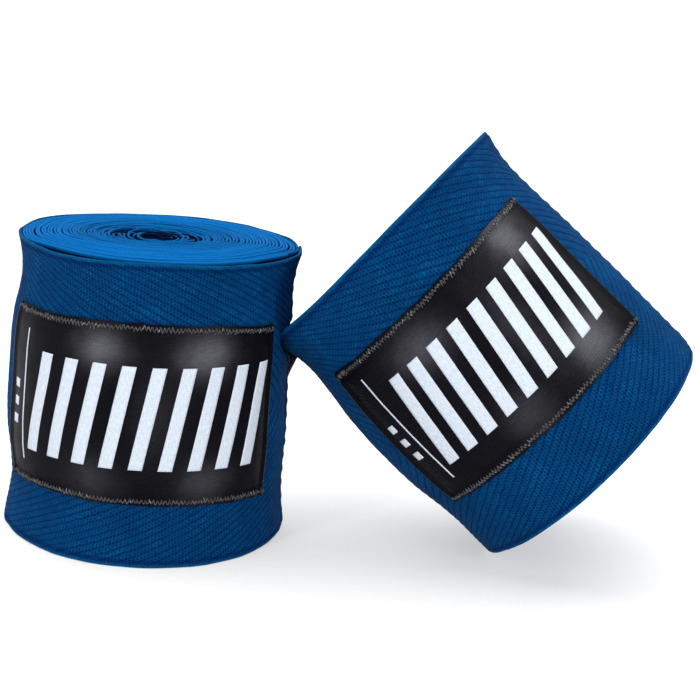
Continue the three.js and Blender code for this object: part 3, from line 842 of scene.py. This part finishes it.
def build(w):
    s = w.side
    done = {}
    # ends of a stretch across the closure, longer on the leaning wrap; they are worked out but not used
    turn_az, before, after = (11, -3.5, 3.0) if w.left else (45, -14.0, 9.0)
    d = np.array([math.sin(math.radians(turn_az)), -math.cos(math.radians(turn_az)), 0.0])
    start = Vector((w.world(d * before) * 0.001).tolist())
    end = Vector((w.world(d * after) * 0.001).tolist())

    def follow(o, body=None):
        if body is not None or w.left:
            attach(o, body or w.flap)
        else:
            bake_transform(o)


    roll, length, rs, ps = build_roll(w)
    dress(roll, ROLL_PAINTED_LIGHT)
    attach(roll, w.body)
    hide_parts(s + "_cloth_roll")

    outer = turn_surface(w, -290, -100, s + "_outer_turn", 0.42, 0.32)
    dress(outer, CLOTH)
    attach(outer, w.body)

    flap = turn_surface(w, -100, FREE, s + "_closure_cloth", 0.40, 0.30)
    dress(flap, CLOTH)
    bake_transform(flap)
    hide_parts(s + "_closure_end")

    def clip(o, mat, node, body=None):
        dress(o, mat)
        follow(o, body)
        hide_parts(node)
        return o

    # hem: the free end turned back over the cloth
    hb = Noise(w.seed + 60)
    hem = sheet_on(w, s + "_free_end_hem", FREE - 8.0, FREE + 0.1, w.z0 + 0.7, w.z0 + w.h - 0.7, -0.12, 0.30, 0.3, 0.6,
                   bump=lambda A, Z: 0.02 * hb(A / 2.0, Z / 5.0), ends=0.3)
    clip(hem, CLOTH, s + "_end_hem")
    zz = np.arange(w.z0 + 2.0, w.z0 + w.h - 3.6, 2.55)
    t6 = np.linspace(0, 1, 6)
    U = np.full((len(zz), 6), FREE - 6.8)
    V = zz[:, None] + 0.2 + 1.9 * t6[None, :]
    hs = capsules(w, s + "_hem_stitches", U, V, 0.17 + ARCH6[None, :], 0.11 * PROF6[None, :], tone=np.full(len(zz), 0.5))
    clip(hs, BLUE_THREAD, s + "_end_hem_stitching")

    # label
    a0, a1 = LABEL_AZ[s]
    z0, z1 = LABEL_Z[s]
    lab = sheet_on(w, s + "_label_satin", a0, a1, z0, z1, 0.02, 0.24, 0.30, 0.30, bump=label_bump(w), ends=0.4, edge_wave=0.10, seed=w.seed)
    clip(lab, SATIN[s], s + "_label")
    st = overlock(w, s + "_label_stitches_top", z1 - 0.05, 1)
    clip(st, OVERLOCK, s + "_label_stitching_top")
    sb = overlock(w, s + "_label_stitches_bottom", z0 + 0.05, -1)
    clip(sb, OVERLOCK, s + "_label_stitching_bottom")

    # plain printed marks: a row of equal slanted bars, a thin rule and three small squares
    zc = (z0 + z1) / 2
    u_left, u_right = a0 * 0.43, a1 * 0.43
    q = []
    hb2, lean = 8.8, 1.6
    nb = 9
    us = np.linspace(u_left + 9.6, u_right - 4.6, nb)
    for uc in us:
        q.append([(uc - 1.15 - lean, zc - hb2), (uc + 1.15 - lean, zc - hb2), (uc + 1.15 + lean, zc + hb2), (uc - 1.15 + lean, zc + hb2)])
    ur = u_left + 5.6
    q.append([(ur - 0.14 - 0.2, z0 + 4.2), (ur + 0.14 - 0.2, z0 + 4.2), (ur + 0.14 + 0.2, z1 - 3.4), (ur - 0.14 + 0.2, z1 - 3.4)])
    for k in range(3):
        ua, za = u_left + 3.2, zc - 4.4 + k * 3.1
        q.append([(ua - 0.75, za - 0.75), (ua + 0.75, za - 0.75), (ua + 0.75, za + 0.75), (ua - 0.75, za + 0.75)])
    bars = patches(w, s + "_label_bars", q)
    dress(bars, PRINT)
    follow(bars)

    # hook tape inside the closure, its end standing out past the free end
    ha0, ha1, hz0, hz1 = -46.0, 84.5, w.z0 + 8.0, w.z0 + 42.8
    hook = sheet_on(w, s + "_hook_strip", ha0, ha1, hz0, hz1, -0.5 - 0.14 - 0.5, 0.5, 0.8, 0.8, ends=0.3)
    clip(hook, HOOK, s + "_hook_tape")
    U, V = border_path(ha0, ha1, hz0, hz1, 1.6, 2.6, 0.24)
    hk = capsules(w, s + "_hook_strip_stitches", U, V, -1.2 - ARCH6[None, :], 0.13 * PROF6[None, :], tone=np.full(len(U), 0.5))
    clip(hk, BLACK_THREAD, s + "_hook_tape_stitching")

    if w.left:
        # the hook tape's corner stands out past the free end
        n = 30
        off, z = profile(24.3, 31.4, 0.5, 18, 10)
        A, Z = np.meshgrid(np.linspace(82.0, 104.0, n), z, indexing="ij")
        OFF = np.broadcast_to(off, A.shape)
        k = np.clip((Z - 24.6) / 5.8, 0, 1)
        R = radius(w, np.minimum(A, 90.0), Z) - 0.9 + (1.0 + 2.7 * k) * sstep(88, 102, A)
        for _ in range(6):
            g = gap_to_right(w.world(local(A, R + 0.25, Z)))
            R = R - 0.5 * np.clip(0.25 - g, 0, 2)
        P = w.world(local(A, R + OFF, Z))
        tab = new_object(s + "_hook_strip_end", P.reshape(-1, 3), loops_mesh(P), {"strip": np.stack([A * 0.43, Z, OFF], -1).reshape(-1, 3)})
        dress(tab, HOOK)
        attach(tab, w.flap)

    # loop tape on the turn beneath
    def under_radius(A, Z):
        return radius(w, A, Z) - 0.55 - room(w, A, Z)

    la0, la1 = -44.0, 74.0
    n = int((la1 - la0) * 0.43 / 0.8) + 1
    off, z = profile(hz0, hz1, 0.5, 44, 20)
    A, Z = np.meshgrid(np.linspace(la0, la1, n), z, indexing="ij")
    OFF = np.broadcast_to(off, A.shape)
    pl = Noise(w.seed + 70)
    P = w.world(local(A, under_radius(A, Z) + 0.06 + 0.25 + OFF + 0.05 * pl(A * 0.5, Z * 1.1) * (OFF > 0), Z))
    loop = new_object(s + "_loop_strip", P.reshape(-1, 3), loops_mesh(P), {"strip": np.stack([A * 0.43, Z, OFF], -1).reshape(-1, 3)})
    clip(loop, LOOP, s + "_loop_tape", w.body)
    U, V = border_path(la0, la1, hz0, hz1, 1.6, 2.6, 0.24)
    ls = capsules(w, s + "_loop_strip_stitches", U, V, 0.50 + ARCH6[None, :], 0.13 * PROF6[None, :], tone=np.full(len(U), 0.5), surf=under_radius)
    clip(ls, BLUE_THREAD, s + "_loop_tape_stitching", w.body)

    # thumb loop folded flat in the eye, and its bar tack
    lo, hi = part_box(s + "_thumb_loop")
    th = np.linspace(0, TAU, 49)[:-1]
    cx, cy = EYE[w.side][0] - 0.1, EYE[w.side][1] - 0.15
    z_lo, z_hi = 16.2, 33.8
    ringz = np.concatenate([np.linspace(z_lo, z_hi, 9), np.linspace(z_hi, z_lo, 9)])
    ringo = np.concatenate([np.full(9, 0.16), np.full(9, -0.16)])
    T, Zr = np.meshgrid(th, ringz, indexing="ij")
    Or = np.broadcast_to(ringo, T.shape)
    sq = np.sign(np.cos(T)) * np.abs(np.cos(T)) ** 0.8
    x = cx + (1.62 + Or) * sq
    y = cy + (0.62 + Or) * np.sin(T) * (1 + 0.08 * np.cos(3 * T))
    P = w.world(np.stack([x, y, Zr], -1))
    n, k = P.shape[:2]
    i = np.arange(n)[:, None] * k
    i2 = ((np.arange(n) + 1) % n)[:, None] * k
    j = np.arange(k)[None, :]
    j2 = (j + 1) % k
    quads = np.stack([i + j, i2 + j, i2 + j2, i + j2], -1).reshape(-1, 4)
    tl = new_object(s + "_thumb_loop_cloth", P.reshape(-1, 3), [quads], {"strip": np.stack([T * 1.3, Zr, Or], -1).reshape(-1, 3)})
    clip(tl, ROLL_PAINTED_LIGHT, s + "_thumb_loop", w.body)
    m = 22
    zt = np.linspace(19.4, 30.6, m)
    tt = np.linspace(-0.7, 0.7, 6)
    C = np.stack([np.broadcast_to(cx + tt, (m, 6)), np.full((m, 6), cy + 0.92) + 0.08 * np.cos(tt * 2), zt[:, None] + 0.16 * np.sign(np.arange(m) % 2 - 0.5)[:, None] * tt[None, :] / 0.7], -1)
    ring_t = np.arange(6) / 6 * TAU
    ring = C[:, :, None, :] + 0.17 * PROF6[None, :, None, None] * np.stack([np.zeros(6), np.cos(ring_t), np.sin(ring_t)], -1)[None, None]
    Pb = w.world(ring)
    base_i = (np.arange(m) * 36)[:, None, None]
    ii = (np.arange(5) * 6)[None, :, None]
    jj = np.arange(6)[None, None, :]
    jj2 = (jj + 1) % 6
    quads = np.stack(np.broadcast_arrays(base_i + ii + jj, base_i + ii + 6 + jj, base_i + ii + 6 + jj2, base_i + ii + jj2), -1).reshape(-1, 4)
    c0 = (np.arange(m) * 36)[:, None] + np.arange(6)[None, :]
    c1 = (np.arange(m) * 36 + 30)[:, None] + np.arange(6)[None, ::-1]
    bt = new_object(s + "_bar_tack", Pb.reshape(-1, 3), [quads, c0, c1], {"strip": Pb.reshape(-1, 3) * 1.0, "tone": np.full(len(Pb.reshape(-1, 3)), 0.6)})
    clip(bt, BLUE_THREAD, s + "_thumb_loop_bar_tack", w.body)
    print(s, "roll length mm", round(length), "turns", round((ps[-1] - ps[0]) / 360, 2))


# ------------------------------------------------------------------ camera first
yaw, pitch, roll_a = 0.128104, 0.243084, 0.084667
fw = np.array([math.sin(yaw) * math.cos(pitch), math.cos(yaw) * math.cos(pitch), -math.sin(pitch)])
rt = np.cross(fw, [0, 0, 1.0]); rt /= np.linalg.norm(rt)
up = np.cross(rt, fw)
r2 = math.cos(roll_a) * rt + math.sin(roll_a) * up
u2 = -math.sin(roll_a) * rt + math.cos(roll_a) * up
cam_data = bpy.data.cameras.new("view")
cam = bpy.data.objects.new("view", cam_data)
bpy.context.scene.collection.objects.link(cam)
cam.matrix_world = Matrix((
    (r2[0], u2[0], -fw[0], -0.0351637),
    (r2[1], u2[1], -fw[1], -0.266939),
    (r2[2], u2[2], -fw[2], 0.100698),
    (0, 0, 0, 1),
))
cam_data.sensor_width = 36
cam_data.lens = 80.71
cam_data.clip_start = 0.01
cam_data.clip_end = 100
cam_data.dof.use_dof = False
bpy.context.scene.camera = cam

for wrap in (LEFT, RIGHT):
    build(wrap)

# ------------------------------------------------------------------ floor, world and light
fl = bpy.data.meshes.new("floor")
g = 24
xs = np.concatenate([-np.geomspace(12, 0.05, g // 2), [0], np.geomspace(0.05, 12, g // 2)])
X, Y = np.meshgrid(xs, xs, indexing="ij")
nv = len(xs)
idx = np.arange(nv * nv).reshape(nv, nv)
fl.from_pydata(np.stack([X, Y, X * 0 - 0.00002], -1).reshape(-1, 3).tolist(), [],
               np.stack([idx[:-1, :-1], idx[1:, :-1], idx[1:, 1:], idx[:-1, 1:]], -1).reshape(-1, 4).tolist())
floor = bpy.data.objects.new("floor", fl)
bpy.context.scene.collection.objects.link(floor)
fm = Nodes("studio_floor")
fm.bsdf.inputs["Base Color"].default_value = (0.42, 0.42, 0.422, 1)
fm.bsdf.inputs["Roughness"].default_value = 0.95
fm.bsdf.inputs["Specular IOR Level"].default_value = 0.0
fm.bsdf.inputs["Emission Color"].default_value = (1, 1, 1, 1)
fm.bsdf.inputs["Emission Strength"].default_value = 0.46
fl.materials.append(fm.mat)

world = bpy.data.worlds.new("studio")
bpy.context.scene.world = world
world.use_nodes = True
nt = world.node_tree
bg = nt.nodes["Background"]
tc = nt.nodes.new("ShaderNodeTexCoord")
sep = nt.nodes.new("ShaderNodeSeparateXYZ")
nt.links.new(tc.outputs["Generated"], sep.inputs[0])
cr = nt.nodes.new("ShaderNodeValToRGB")
nt.links.new(sep.outputs["Z"], cr.inputs[0])
e = cr.color_ramp.elements
e[0].position = 0.0; e[0].color = (1.0, 1.0, 1.0, 1)
e[1].position = 0.12; e[1].color = (1.0, 1.0, 1.0, 1)
x = cr.color_ramp.elements.new(0.32); x.color = (0.42, 0.42, 0.43, 1)
x = cr.color_ramp.elements.new(1.0); x.color = (0.30, 0.30, 0.31, 1)
nt.links.new(cr.outputs[0], bg.inputs["Color"])
bg.inputs["Strength"].default_value = 1.0


def area(name, loc, target, size, energy, color=(1, 1, 1)):
    d = bpy.data.lights.new(name, "AREA")
    d.shape = "RECTANGLE"
    d.size, d.size_y = size
    d.energy = energy
    d.color = color
    o = bpy.data.objects.new(name, d)
    bpy.context.scene.collection.objects.link(o)
    o.location = loc
    dirv = Vector(target) - Vector(loc)
    o.rotation_euler = dirv.to_track_quat("-Z", "Y").to_euler()
    return o


sun = bpy.data.lights.new("overhead", "SUN")
sun.energy = 5.2
sun.angle = math.radians(75)
so = bpy.data.objects.new("overhead", sun)
bpy.context.scene.collection.objects.link(so)
so.rotation_euler = Vector((0.05, -0.35, -1)).to_track_quat("-Z", "Y").to_euler()
area("soft_left", (-0.42, -0.44, 0.22), (-0.02, 0, 0.03), (0.06, 0.50), 1.7)
area("soft_right", (0.33, -0.47, 0.22), (0.0, 0, 0.03), (0.06, 0.50), 1.7)

bpy.context.scene.view_settings.view_transform = "Standard"
bpy.context.scene.view_settings.look = "None"
bpy.context.scene.view_settings.exposure = 0.0
